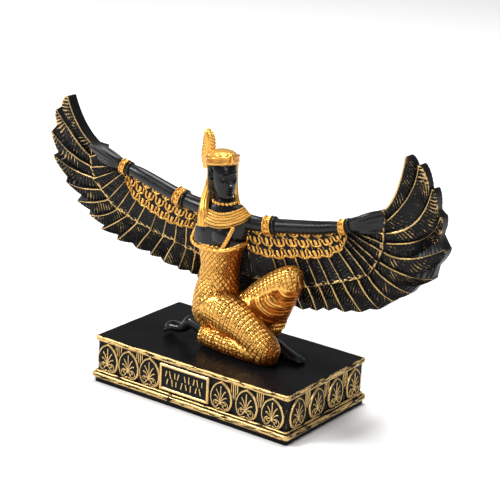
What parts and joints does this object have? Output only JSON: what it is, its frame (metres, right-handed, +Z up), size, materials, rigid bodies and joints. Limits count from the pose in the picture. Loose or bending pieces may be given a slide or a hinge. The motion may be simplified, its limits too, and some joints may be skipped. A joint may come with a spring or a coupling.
{
  "type": "winged goddess statue",
  "caption": "Small cast-resin statue of a kneeling goddess with arms and wings spread, on a rectangular plinth with a carved palmette frieze.",
  "frame": {"origin": "centre of the plinth's underside", "axes": "+Z up; +X along the plinth's long side towards the figure's raised knee; -Y through the long face that carries the plaque"},
  "size_m": [0.1492, 0.048, 0.0933],
  "materials": {
    "black_resin": "satin black cast resin, raised edges dry-brushed with pale gold",
    "gilt_resin": "cast resin, gown and ornaments bright gold, skin and feathers satin black"
  },
  "bodies": {
    "root": {"plinth": "black_resin", "winged_goddess": "gilt_resin"}
  },
  "joints": []
}
